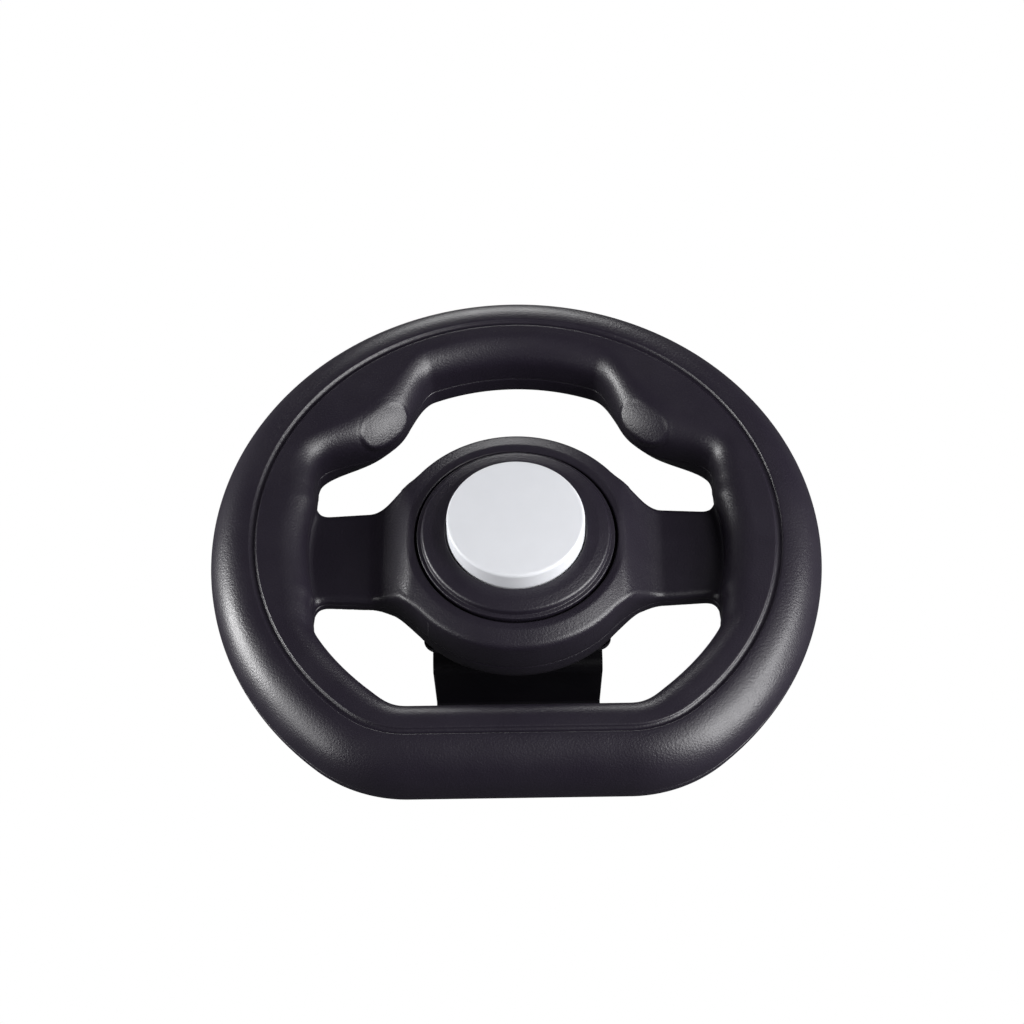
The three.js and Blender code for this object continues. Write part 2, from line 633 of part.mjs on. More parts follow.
// Hat-section bracket: a top plate, two legs and two feet turned outwards.
function bracket() {
  const leg = BRACKET_WIDTH / 2;
  const bend = SHEET + BEND_INNER_R;
  const topY = leg - bend;
  const footY = leg + BEND_INNER_R;
  const tip = leg + FOOT_LENGTH;
  const topZ = BRACKET_HEIGHT - bend;
  const half = [
    [tip, 0], [tip, SHEET],
    ...arc(footY, bend, BEND_INNER_R, BEND_INNER_R, 270, 180, 3),
    ...arc(topY, topZ, bend, bend, 0, 90, 4),
  ];
  const halfUnder = [
    ...arc(topY, topZ, BEND_INNER_R, BEND_INNER_R, 90, 0, 3),
    ...arc(footY, bend, bend, bend, 180, 270, 4),
  ];
  const mirrored = (points) => points.map(([y, z]) => [-y, z]).reverse();
  const outline = [...half, ...mirrored(half), ...mirrored(halfUnder), ...halfUnder];
  const shape = new THREE.Shape(outline.map(([y, z]) => new THREE.Vector2(y, z)));
  const geometry = new THREE.ExtrudeGeometry(shape, { depth: BRACKET_WIDTH, bevelEnabled: false });
  geometry.translate(0, 0, -BRACKET_WIDTH / 2);
  geometry.applyMatrix4(new THREE.Matrix4().makeBasis(
    new THREE.Vector3(0, 1, 0), new THREE.Vector3(0, 0, 1), new THREE.Vector3(1, 0, 0),
  ));
  let plate = solidOf(geometry);
  plate = plate.subtract(rod(AXLE_R + AXLE_CLEARANCE, 0, BRACKET_HEIGHT + 1, 0, 0, 24));
  for (const x of [-FOOT_HOLE_X, FOOT_HOLE_X]) {
    for (const y of [-FOOT_HOLE_Y, FOOT_HOLE_Y]) {
      plate = plate.subtract(rod(FOOT_HOLE_R, -1, SHEET + 1, x, y, 20));
    }
  }
  return plate;
}

// ---- Assembly ----------------------------------------------------------------------------

const material = (color, roughness, metalness) =>
  new THREE.MeshStandardMaterial({ color, roughness, metalness });
const BLACK_PLASTIC = material(0x151517, 0.45, 0);
const WHITE_PLASTIC = material(0xd8dae1, 0.5, 0);
const BLACK_STEEL = material(0x0c0c0e, 0.5, 0.3);
const ZINC_STEEL = material(0x9fa3a6, 0.35, 1);
const SPRING_STEEL = material(0x8c8f93, 0.3, 1);
const NYLON = material(0xd9d5c8, 0.5, 0);
const RUBBER = material(0x2a2a2c, 0.7, 0);

const wheel = new THREE.Group();

function add(name, solid, finish) {
  const mesh = new THREE.Mesh(geometryOf(solid.translate([0, AXLE_Y, 0])), finish);
  mesh.name = name;
  wheel.add(mesh);
}

const plateUnder = BRACKET_HEIGHT - SHEET;
const axleBore = AXLE_R + AXLE_CLEARANCE;
const sleeveBore = SLEEVE_R + RUNNING_GAP;
add("bracket", bracket(), BLACK_STEEL);
add("axle_bolt", axleBolt(), ZINC_STEEL);
add("bolt_head_washer", tube(axleBore, WASHER_R, plateUnder - WASHER, plateUnder, 24), ZINC_STEEL);
add("spacer_tube", tube(axleBore, SPACER_R, BRACKET_HEIGHT, SPACER_TOP_Z), BLACK_STEEL);
add("axle_sleeve", tube(axleBore, SLEEVE_R, SPACER_TOP_Z, SLEEVE_TOP_Z, 24), ZINC_STEEL);
add("thrust_washer", tube(sleeveBore, BUSH_FLANGE_R, SPACER_TOP_Z, SPACER_TOP_Z + THRUST_WASHER), NYLON);
add("top_washer", tube(axleBore, TOP_WASHER_R, SLEEVE_TOP_Z, SLEEVE_TOP_Z + WASHER), ZINC_STEEL);
add("lock_nut", lockNut(), ZINC_STEEL);

const body = wheelBody();
add("front_shell", frontShell(body), BLACK_PLASTIC);
add("rear_shell", rearShell(body), BLACK_PLASTIC);
add("rear_bush", rearBush(), NYLON);
add("front_bush", frontBush(), NYLON);

const shellScrew = screw(SCREW_R, SCREW_HEAD_R, SCREW_HEAD, SCREW_LENGTH, SCREW_SEAT_Z);
const fineScrew = screw(
  FINE_SCREW_R, FINE_SCREW_HEAD_R, FINE_SCREW_HEAD, FINE_SCREW_LENGTH, LEDGE_BOTTOM_Z,
);
function addScrews(name, solid, spots) {
  spots.forEach(([x, y], k) => add(`${name}_${k + 1}`, solid.translate([x, y, 0]), ZINC_STEEL));
}
addScrews("rim_screw", shellScrew, rimScrewSpots);
addScrews("hub_screw", shellScrew, hubScrewSpots);
addScrews("bezel_screw", fineScrew, bezelScrewSpots);

add("bezel", bezel(), BLACK_PLASTIC);
add("horn_button", hornButton(), WHITE_PLASTIC);
add("button_spring", buttonSpring(), SPRING_STEEL);
add("squeaker_plate", squeakerPlate(), BLACK_PLASTIC);
add("squeaker_bellows", squeakerBellows(), RUBBER);
add("squeaker_reed", squeakerReed(), NYLON);

export default wheel;
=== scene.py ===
"""Looks of the play steering wheel: smooth moulded shells, turned and bent pieces, studio."""

import json
import math

import bpy
import numpy as np
from mathutils import Matrix, Vector


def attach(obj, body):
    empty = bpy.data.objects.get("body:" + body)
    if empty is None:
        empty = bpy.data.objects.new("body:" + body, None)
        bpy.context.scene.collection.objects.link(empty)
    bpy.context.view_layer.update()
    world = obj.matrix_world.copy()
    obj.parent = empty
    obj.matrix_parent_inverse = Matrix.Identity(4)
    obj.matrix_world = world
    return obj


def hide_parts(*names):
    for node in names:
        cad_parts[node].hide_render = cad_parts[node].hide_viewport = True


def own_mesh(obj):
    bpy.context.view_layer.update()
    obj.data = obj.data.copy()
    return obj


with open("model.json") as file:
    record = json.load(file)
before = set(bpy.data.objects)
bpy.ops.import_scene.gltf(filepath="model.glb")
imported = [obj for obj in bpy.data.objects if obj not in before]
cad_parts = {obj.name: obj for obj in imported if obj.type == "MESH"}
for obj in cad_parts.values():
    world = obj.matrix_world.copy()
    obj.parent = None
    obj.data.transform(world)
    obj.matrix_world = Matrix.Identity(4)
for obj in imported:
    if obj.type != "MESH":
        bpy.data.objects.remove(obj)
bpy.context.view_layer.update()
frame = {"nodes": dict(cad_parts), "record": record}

# ---- Driving dimensions, in millimetres, in the CAD's frame ---------------------------------

MM = 0.001

RIM_OUTER_R = 150.0
RIM_INNER_R = 109.3
GROOVE_R = 128.0
CREST_R = 122.0
CORNER_ARM = 81.0
FLAT_DROP = 19.0
AXLE_Y = -FLAT_DROP / 2  # pieces are made round the axle, then moved here

BRACKET_HEIGHT = 38.0
BACK_Z = 60.0
PART_Z = 72.5
FACE_Z = 96.0
OUTER_ROUND_START_R = 129.6
OUTER_ROUND_Z = 74.0
INNER_ROUND_Z = 83.0
BACK_OUTER_ROUND = 12.0
BACK_INNER_ROUND = 5.0
GROOVE_WIRE_R = 1.7  # the groove is cut by a round wire of this radius,
GROOVE_WIRE_LIFT = 0.4  # held this far above the face
SEAM_DEPTH = 0.45
SEAM_HALF_WIDTH = 0.45

THUMB_TURN = 42.5  # turns are in degrees from the top of the wheel
THUMB_SPAN = 21.0
THUMB_BULGE = 13.5
THUMB_FLATNESS = 2.4  # a higher power holds the bulge longer before it falls away
THUMB_FULLNESS = 5.5  # how much further the thumb rest's wall stands in, above its foot
THUMB_OVERHANG_RISE = 14.0  # the height over which it comes in
THUMB_ROUND_DROP = 6.0  # how much lower its round ends
BOTTOM_CORNER_TURN = 138.0
BOTTOM_CORNER_SPAN = 35.0
BOTTOM_CORNER_FULLNESS = 2.0
PAD_R = 94.4
PAD_Z = 88.9
PAD_SHIFT = 0.3  # towards the spoke
PAD_TILT = 45.0
PAD_HALF_LENGTH = 15.0
PAD_HALF_WIDTH = 12.4
PAD_HEIGHT = 0.25
PAD_DOME_R = 38.0
PAD_LENGTH_R = 65.0
PAD_END_EDGE = 0.12  # the edge's width at the pad's ends, as a share of the pad's own size
PAD_SIDE_EDGE = 0.3  # what the long sides add to it
PAD_DEPTH = 12.0  # the pad's shape has faded out this far under its face
PAD_GROOVE = 0.15
PAD_GROOVE_PLACE = 1.03
PAD_GROOVE_WIDTH = 0.05

HUB_R = 62.0
HUB_RING_IN_Z = 94.0
HUB_RING_OUT_Z = 90.4
HUB_RING_CURVE = 1.1
HUB_LIP_R = 53.6
HUB_EDGE_ROUND = 2.0
HUB_BACK_ROUND = 4.0
RECESS_R = 49.5
LEDGE_TOP_Z = 86.2
LEDGE_R = 41.0
CAVITY_FLOOR_Z = 70.0
BUSH_HOLE_R = 9.65
SPOKE_HALF_WIDTH = 24.0
SPOKE_FLARE = 2.6
SPOKE_TOP_Z = 76.8
SPOKE_BOTTOM_Z = 67.3
SPOKE_END_HALF_WIDTH = 44.0  # where the fillets at the rim are cut off, inside the rim
SPOKE_END_R = 118.0
SPOKE_EDGE_ROUND = 3.0
SPOKE_BACK_ROUND = 2.0
SPOKE_BACK_START = -4.0  # where the back steps up from the hub's, from the hub's wall
SPOKE_EDGE_START = -2.0  # where the spoke's edge rounds take over from the hub's
SPOKE_CHANGE_LENGTH = 9.0
WEB_START_R = 104.0  # where the spoke's back runs down to the rim's
WEB_LENGTH = 5.0
SPOKE_HUB_FILLET = 14.0
WINDOW_CORNER_R = 10.0
WINDOW_CORNER_LEAST = 3.5  # how near a spoke the rim's own corner still turns
WINDOW_CORNER_SOFTNESS = 3.0
WINDOW_END_FULLNESS = 4.5  # how much further in the rim's wall stands beside a spoke
WINDOW_END_START = 6.0  # distances from the spoke's side
WINDOW_END_LENGTH = 20.0
RAMP_START_X = 54.3  # the ramp from the hub's ring down to the spoke
RAMP_LENGTH = 18.0
RAMP_HEIGHT = 17.0
RAMP_CURVE = 1.8
RAMP_BLEND = 8.0  # softness of the edge between the hub's ring and the ramp
RIM_RAMP_R = 7.0
JOIN_SOFTNESS = 2.5  # between hub and rim, and less where their walls meet in a window
JOIN_SOFTNESS_AT_WALL = 0.3
JOIN_WALL_R = 107.0
JOIN_CHANGE_LENGTH = 6.0
GROOVE_SOFTNESS = 0.5
CUT_SOFTNESS = 0.8

SCREW_R = 1.9
SCREW_HEAD_R = 3.7
SCREW_SEAT_Z = 65.5
RIM_SCREW_R = 130.0
HUB_SCREW_R = 55.5
WELL_R = 4.2
WELL_WALL = 0.8
RIM_SCREWS = 8
RIM_WELL_LIP = 2.9
HUB_WELL_LIP = 2.2
HUB_WELL_SKIRT = 3.0

SHEET = 3.0
BEND_INNER_R = 2.5
BRACKET_WIDTH = 84.0
LEG_NARROWING = 0.976  # the legs are cut a little narrower than the top plate
FOOT_LENGTH = 26.0
FOOT_CORNER_R = 9.0
FOOT_HOLE_R = 4.5
FOOT_HOLE_X = 28.0
FOOT_HOLE_Y = 57.0

BOLT_R = 5.0
BOLT_HOLE_R = 5.3
BUSH_BORE_R = 7.15
BUSH_FLANGE_R = 14.5
PLATE_BOTTOM_Z = BRACKET_HEIGHT - SHEET
HEAD_WASHER_BOTTOM_Z = PLATE_BOTTOM_Z - 2.0
THRUST_BOTTOM_Z = 56.5
THRUST_TOP_Z = 58.0
SEAT_TOP_Z = 89.0  # the squeaker plate's top, on which the spring and the bellows stand

CORNER_Y = FLAT_DROP - CORNER_ARM
CORNER_X = math.sqrt(CORNER_ARM**2 - CORNER_Y**2)
CORNER_TURN = 90.0 - math.degrees(math.atan2(CORNER_Y, CORNER_X))  # from the top of the wheel


# ---- The wheel's outside as a distance field ------------------------------------------------


def smooth_step(t):
    t = np.clip(t, 0.0, 1.0)
    return t * t * (3.0 - 2.0 * t)


def smooth_min(a, b, k):
    blend = np.maximum(k - np.abs(a - b), 0.0) / k
    return np.minimum(a, b) - blend * blend * k * 0.25


def smooth_max(a, b, k):
    return -smooth_min(-a, -b, k)


def fillet_union(a, b, radius):
    """Union of two shapes with a round fillet between them."""
    inside = np.hypot(np.maximum(radius - a, 0.0), np.maximum(radius - b, 0.0))
    return np.maximum(radius, np.minimum(a, b)) - inside


def round_common(a, b, radius):
    """Common part of two shapes with a rounded edge."""
    outside = np.hypot(np.maximum(radius + a, 0.0), np.maximum(radius + b, 0.0))
    return np.minimum(-radius, np.maximum(a, b)) + outside


def round_corner(dx, dz, a, b):
    """A wall at dx = a and a flat at dz = b, joined by a quarter ellipse."""
    px = np.maximum(dx, 0.0)
    pz = np.maximum(dz, 0.0)
    k = np.hypot(px / a, pz / b)
    g = np.hypot(px / a**2, pz / b**2)
    curved = k * (k - 1.0) / np.maximum(g, 1e-9)
    return np.where((dx > 0.0) & (dz > 0.0), curved, np.maximum(dx - a, dz - b))


def ring_place(x, y):
    """Ring radius of a point on the D-shaped rings, and its turn from the top in degrees."""
    ax = np.abs(x)
    radius = np.hypot(x, y)
    turn = np.degrees(np.arctan2(ax, y))
    bottom = turn > CORNER_TURN
    dx = ax - CORNER_X
    dy = y - CORNER_Y
    in_corner = bottom & (dx > 0.0) & (dy < 0.0)
    on_flat = bottom & (dx <= 0.0) & (dy < 0.0)
    near_hub = bottom & (dy >= 0.0)
    radius = np.where(in_corner, CORNER_ARM + np.hypot(dx, dy), radius)
    turn = np.where(in_corner, np.degrees(np.arctan2(dx, dy)), turn)
    radius = np.where(on_flat, FLAT_DROP - y, radius)
    turn = np.where(on_flat, 180.0, turn)
    radius = np.where(near_hub, CORNER_ARM * y / CORNER_Y, radius)
    return radius, turn


def thumb_share(turn):
    """1 at the middle of a thumb rest, falling smoothly to 0 at its ends."""
    thumb = np.clip(np.abs(turn - THUMB_TURN) / THUMB_SPAN, 0.0, 1.0)
    return (1.0 - thumb**THUMB_FLATNESS) ** 2


def window_bulge(turn):
    """How far the rim's inner wall stands in, at the thumb rests and the bottom corners."""
    corner = np.clip(np.abs(turn - BOTTOM_CORNER_TURN) / BOTTOM_CORNER_SPAN, 0.0, 1.0)
    fullness = BOTTOM_CORNER_FULLNESS * np.cos(np.radians(90.0 * corner)) ** 2
    return THUMB_BULGE * thumb_share(turn) + fullness


def spoke_strip(x, y):
    """Distance in plan outside the two spokes' straight sides."""
    flare = np.clip((RIM_INNER_R - np.abs(x)) / (RIM_INNER_R - HUB_R), 0.0, 1.0)
    return np.abs(y) - SPOKE_HALF_WIDTH - SPOKE_FLARE * flare


def end_fullness(strip):
    """How far the rim's inner wall stands in beside a spoke, which rounds the windows' ends."""
    away = smooth_step((strip - WINDOW_END_START) / WINDOW_END_LENGTH)
    return WINDOW_END_FULLNESS * (1.0 - away)


def rim_field(ring, turn, strip, z):
    """The rim: round shoulders outside and inside, rounded back edges, and the face's groove."""
    beside = smooth_max(strip, WINDOW_CORNER_LEAST, WINDOW_CORNER_SOFTNESS)
    reach = RIM_INNER_R - ring - window_bulge(turn) - end_fullness(strip)
    wall = fillet_union(reach, beside, WINDOW_CORNER_R)
    inner = RIM_INNER_R - wall
    top_out = round_corner(
        ring - OUTER_ROUND_START_R, z - OUTER_ROUND_Z,
        RIM_OUTER_R - OUTER_ROUND_START_R, FACE_Z - OUTER_ROUND_Z,
    )
    share = thumb_share(turn)
    overhang = THUMB_FULLNESS * share * smooth_step((z - BACK_Z) / THUMB_OVERHANG_RISE)
    round_z = INNER_ROUND_Z - THUMB_ROUND_DROP * share
    top_in = round_corner(
        CREST_R - inner, z - round_z, CREST_R - RIM_INNER_R + overhang, FACE_Z - round_z,
    )
    back_out = round_corner(
        ring - RIM_OUTER_R + BACK_OUTER_ROUND, BACK_Z + BACK_OUTER_ROUND - z,
        BACK_OUTER_ROUND, BACK_OUTER_ROUND,
    )
    back_in = round_corner(
        RIM_INNER_R + BACK_INNER_ROUND - inner - overhang, BACK_Z + BACK_INNER_ROUND - z,
        BACK_INNER_ROUND, BACK_INNER_ROUND,
    )
    rim = np.maximum(np.maximum(top_out, top_in), np.maximum(back_out, back_in))
    groove = np.hypot(ring - GROOVE_R, z - FACE_Z - GROOVE_WIRE_LIFT) - GROOVE_WIRE_R
    return smooth_max(rim, -groove, GROOVE_SOFTNESS)


def with_pad(rim, x, y, z):
    """The rim with each thumb rest's oval pad: a nearly flat face, crisp at its ends."""
    turn = math.radians(THUMB_TURN)
    ax = np.abs(x)
    out = ax * math.sin(turn) + y * math.cos(turn) - PAD_R
    along = ax * math.cos(turn) - y * math.sin(turn) - PAD_SHIFT
    tilt = math.radians(PAD_TILT)
    across = out * math.cos(tilt) + (z - PAD_Z) * math.sin(tilt)
    above = (z - PAD_Z) * math.cos(tilt) - out * math.sin(tilt)
    face = above + across**2 / (2.0 * PAD_DOME_R) + along**2 / (2.0 * PAD_LENGTH_R) - PAD_HEIGHT
    k = np.hypot(along / PAD_HALF_LENGTH, across / PAD_HALF_WIDTH)
    sideways = (across / PAD_HALF_WIDTH / np.maximum(k, 1e-6)) ** 2
    edge = PAD_END_EDGE + PAD_SIDE_EDGE * sideways
    shallow = smooth_step((above + PAD_DEPTH) / (PAD_DEPTH / 2.0))
    share = smooth_step((1.0 - k) / edge) * shallow
    groove = PAD_GROOVE * np.exp(-((k - PAD_GROOVE_PLACE) / PAD_GROOVE_WIDTH) ** 2) * (1.0 - sideways)
    return rim * (1.0 - share) + face * share + groove


def hub_field(x, y, z):
    """Hub and both spokes: one outline, a top height and a bottom height."""
    ay = np.abs(y)
    r = np.hypot(x, y)
    strip = spoke_strip(x, y)
    outline = fillet_union(strip, r - HUB_R, SPOKE_HUB_FILLET)
    outline = fillet_union(outline, RIM_INNER_R - r - end_fullness(strip), WINDOW_CORNER_R)
    outline = np.maximum(outline, ay - HUB_R)
    beyond_hub = r > HUB_R + SPOKE_HUB_FILLET
    outline = np.where(beyond_hub, np.maximum(outline, ay - SPOKE_END_HALF_WIDTH), outline)
    outline = np.maximum(outline, r - SPOKE_END_R)

    fall = np.clip((r - HUB_LIP_R) / (HUB_R - HUB_LIP_R), 0.0, 1.0) ** HUB_RING_CURVE
    ring_z = HUB_RING_IN_Z - (HUB_RING_IN_Z - HUB_RING_OUT_Z) * fall
    to_foot = 1.0 - np.clip((np.abs(x) - RAMP_START_X) / RAMP_LENGTH, 0.0, 1.0)
    steepest = RAMP_CURVE * RAMP_HEIGHT / RAMP_LENGTH
    before = steepest * np.maximum(RAMP_START_X - np.abs(x), 0.0)
    ramp_z = SPOKE_TOP_Z + RAMP_HEIGHT * to_foot**RAMP_CURVE + before
    rise = np.clip(r - RIM_INNER_R + RIM_RAMP_R, 0.0, RIM_RAMP_R * 0.98)  # stops short of upright
    rim_ramp = RIM_RAMP_R - np.sqrt(RIM_RAMP_R**2 - rise**2)
    top_z = smooth_min(ring_z, ramp_z, RAMP_BLEND) + rim_ramp
    steep = np.where(ramp_z < ring_z, steepest * to_foot ** (RAMP_CURVE - 1.0), 0.0)
    top = (z - top_z) / np.sqrt(1.0 + steep**2)

    back = smooth_step((r - HUB_R - SPOKE_BACK_START) / SPOKE_CHANGE_LENGTH)
    web = (SPOKE_BOTTOM_Z - BACK_Z) * smooth_step((r - WEB_START_R) / WEB_LENGTH)
    bottom = BACK_Z * (1.0 - back) + SPOKE_BOTTOM_Z * back - web - z
    on_spoke = smooth_step((r - HUB_R - SPOKE_EDGE_START) / SPOKE_CHANGE_LENGTH)
    edge_round = HUB_EDGE_ROUND + (SPOKE_EDGE_ROUND - HUB_EDGE_ROUND) * on_spoke
    back_round = HUB_BACK_ROUND + (SPOKE_BACK_ROUND - HUB_BACK_ROUND) * on_spoke
    return round_common(round_common(outline, top, edge_round), bottom, back_round)


def wheel_field(x, y, z):
    """The whole wheel: negative inside its plastic, zero on its surface, seam line included."""
    r = np.hypot(x, y)
    ring, turn = ring_place(x, y)
    rim = with_pad(rim_field(ring, turn, spoke_strip(x, y), z), x, y, z)
    inward = smooth_step((JOIN_WALL_R - r) / JOIN_CHANGE_LENGTH)
    softness = JOIN_SOFTNESS_AT_WALL + (JOIN_SOFTNESS - JOIN_SOFTNESS_AT_WALL) * inward
    wheel = smooth_min(rim, hub_field(x, y, z), softness)
    wheel = wheel + SEAM_DEPTH * np.maximum(0.0, 1.0 - np.abs(z - PART_Z) / SEAM_HALF_WIDTH)
    recess = np.maximum(r - RECESS_R, LEDGE_TOP_Z - z)
    cavity = np.maximum(r - LEDGE_R, CAVITY_FLOOR_Z - z)
    cut = np.minimum(np.minimum(recess, cavity), r - BUSH_HOLE_R)
    return smooth_max(wheel, -cut, CUT_SOFTNESS)


# ---- Meshing the field ----------------------------------------------------------------------


def graded(*stretches):
    """Grid lines over stretches of (from, to, step), each taken up to its end."""
    lines = []
    for start, end, step in stretches:
        count = max(1, round((end - start) / step))
        lines.extend(np.linspace(start, end, count, endpoint=False))
    lines.append(stretches[-1][1])
    return np.array(lines)


def station_grid(rings):
    """x and y of every (station, ring) node. Stations follow the rim, and run radially on the hub.

    They stand closer together at the thumb rests. Each column of the half wheel is the arc's
    centre, the arc's own reach, and the direction outwards.
    """
    turns = graded((0.0, 20.0, 0.65), (20.0, 64.0, 0.4), (64.0, CORNER_TURN, 0.65))
    columns = []
    for turn in np.radians(turns[:-1]):
        columns.append((0.0, 0.0, 0.0, math.sin(turn), math.cos(turn)))
    for turn in np.radians(np.linspace(CORNER_TURN, 180.0, 41)[:-1]):
        columns.append((CORNER_X, CORNER_Y, CORNER_ARM, math.sin(turn), math.cos(turn)))
    for x in np.linspace(CORNER_X, 0.0, 27):
        columns.append((x, CORNER_Y, CORNER_ARM, 0.0, -1.0))
    half = np.array(columns)
    other = half[-2:0:-1] * np.array([-1.0, 1.0, 1.0, -1.0, 1.0])
    cx, cy, trim, nx, ny = np.vstack([half, other]).T[:, :, None]
    ring_x = cx + (rings - trim) * nx
    ring_y = cy + (rings - trim) * ny
    ref = np.arctan2(cy + (GROOVE_R - trim) * ny, cx + (GROOVE_R - trim) * nx)
    hub_x = rings * np.cos(ref)
    hub_y = rings * np.sin(ref)
    join_in, join_out = 66.0, 92.0
    share = np.clip((rings - join_in) / (join_out - join_in), 0.0, 1.0)
    edge_x = cx + (join_out - trim) * nx
    edge_y = cy + (join_out - trim) * ny
    between_x = join_in * np.cos(ref) * (1.0 - share) + edge_x * share
    between_y = join_in * np.sin(ref) * (1.0 - share) + edge_y * share
    x = np.where(rings <= join_in, hub_x, np.where(rings >= join_out, ring_x, between_x))
    y = np.where(rings <= join_in, hub_y, np.where(rings >= join_out, ring_y, between_y))
    return x, y


def field_on_grid(x, y, levels):
    """The wheel's field at every (station, ring, level) node."""
    values = np.empty(x.shape + (len(levels),), np.float32)
    for k, z in enumerate(levels):
        values[:, :, k] = wheel_field(x, y, z)
    return values


def surface_net(x, y, levels, values):
    """One vertex per cell that the surface crosses, one quad per crossed grid edge."""
    count = x.shape[0]
    inside = values < 0.0
    following = np.roll(inside, -1, axis=0)
    cells = np.zeros((count, x.shape[1] - 1, len(levels) - 1), np.int8)
    for block in (inside, following):
        for j in (0, 1):
            for k in (0, 1):
                cells += block[:, j:block.shape[1] - 1 + j, k:block.shape[2] - 1 + k]
    active = np.nonzero((cells > 0) & (cells < 8))
    number = np.full(cells.shape, -1, np.int64)
    number[active] = np.arange(len(active[0]))

    ci, cj, ck = active
    total = np.zeros((len(ci), 3))
    hits = np.zeros(len(ci))
    corners = [(a, b, c) for a in (0, 1) for b in (0, 1) for c in (0, 1)]
    for start in corners:
        for axis in range(3):
            if start[axis]:
                continue
            end = tuple(1 if n == axis else start[n] for n in range(3))
            ends = []
            for a, b, c in (start, end):
                i = (ci + a) % count
                place = np.stack([x[i, cj + b], y[i, cj + b], levels[ck + c]], axis=1)
                ends.append((place, values[i, cj + b, ck + c].astype(float)))
            (p, vp), (q, vq) = ends
            crossed = (vp < 0.0) != (vq < 0.0)
            t = np.where(crossed, vp / np.where(crossed, vp - vq, 1.0), 0.0)
            total += np.where(crossed[:, None], p + (q - p) * t[:, None], 0.0)
            hits += crossed
    vertices = total / hits[:, None]

    quads = []

    def add_quads(i, j, k, flip, offsets):
        ids = np.stack([number[(i + a) % count, j + b, k + c] for a, b, c in offsets], axis=1)
        quads.append(np.where(flip[:, None], ids[:, ::-1], ids))

    across_stations = [(0, 0, 0), (0, 0, -1), (0, -1, -1), (0, -1, 0)]
    across_rings = [(0, 0, 0), (-1, 0, 0), (-1, 0, -1), (0, 0, -1)]
    across_levels = [(0, 0, 0), (0, -1, 0), (-1, -1, 0), (-1, 0, 0)]
    i, j, k = np.nonzero(inside[:, 1:-1, 1:-1] != following[:, 1:-1, 1:-1])
    add_quads(i, j + 1, k + 1, inside[i, j + 1, k + 1], across_stations)
    i, j, k = np.nonzero(inside[:, :-1, 1:-1] != inside[:, 1:, 1:-1])
    add_quads(i, j, k + 1, inside[i, j, k + 1], across_rings)
    i, j, k = np.nonzero(inside[:, 1:-1, :-1] != inside[:, 1:-1, 1:])
    add_quads(i, j + 1, k, inside[i, j + 1, k], across_levels)
    return vertices, np.concatenate(quads), ck


def settle(points, fixed_height):
    """Moves points onto the surface, along the field's slope; seam points keep their height."""
    probe = 0.03
    for _ in range(5):
        x, y, z = points.T
        value = wheel_field(x, y, z)
        slope = np.stack([
            (wheel_field(x + probe, y, z) - wheel_field(x - probe, y, z)) / (2 * probe),
            (wheel_field(x, y + probe, z) - wheel_field(x, y - probe, z)) / (2 * probe),
            (wheel_field(x, y, z + probe) - wheel_field(x, y, z - probe)) / (2 * probe),
        ], axis=1)
        slope[fixed_height, 2] = 0.0
        size = np.maximum((slope**2).sum(axis=1), 0.25)
        step = slope * (value / size)[:, None]
        length = np.linalg.norm(step, axis=1, keepdims=True)
        points = points - step * np.minimum(1.0, 0.8 / np.maximum(length, 1e-9))
    return points


def mesh_object(name, vertices, faces, smooth=True):
    """A mesh object from vertices in millimetres from the axle's foot."""
    mesh = bpy.data.meshes.new(name)
    places = (np.asarray(vertices, float) + (0.0, AXLE_Y, 0.0)) * MM
    mesh.from_pydata(places.tolist(), [], [list(map(int, f)) for f in faces])
    mesh.validate()
    mesh.polygons.foreach_set("use_smooth", [smooth] * len(mesh.polygons))
    mesh.update()
    piece = bpy.data.objects.new(name, mesh)
    bpy.context.scene.collection.objects.link(piece)
    return piece


def part_of(vertices, quads):
    """The vertices that these quads use, and the quads renumbered to match."""
    used, faces = np.unique(quads, return_inverse=True)
    return vertices[used], faces.reshape(quads.shape)


def ring_point(turn, radius):
    """x and y on a ring, turn in degrees clockwise from the top of the wheel."""
    side = 1.0 if turn < 180.0 else -1.0
    turn = math.radians(min(turn, 360.0 - turn))
    if math.degrees(turn) > CORNER_TURN:
        reach = radius - CORNER_ARM
        return side * (CORNER_X + reach * math.sin(turn)), CORNER_Y + reach * math.cos(turn)
    return side * radius * math.sin(turn), radius * math.cos(turn)


SCREW_SPOTS = [ring_point(22.5 + 45.0 * k, RIM_SCREW_R) for k in range(RIM_SCREWS)]
SCREW_SPOTS += [
    (HUB_SCREW_R * math.cos(math.radians(a)), HUB_SCREW_R * math.sin(math.radians(a)))
    for a in (45.0, 135.0, 225.0, 315.0)
]


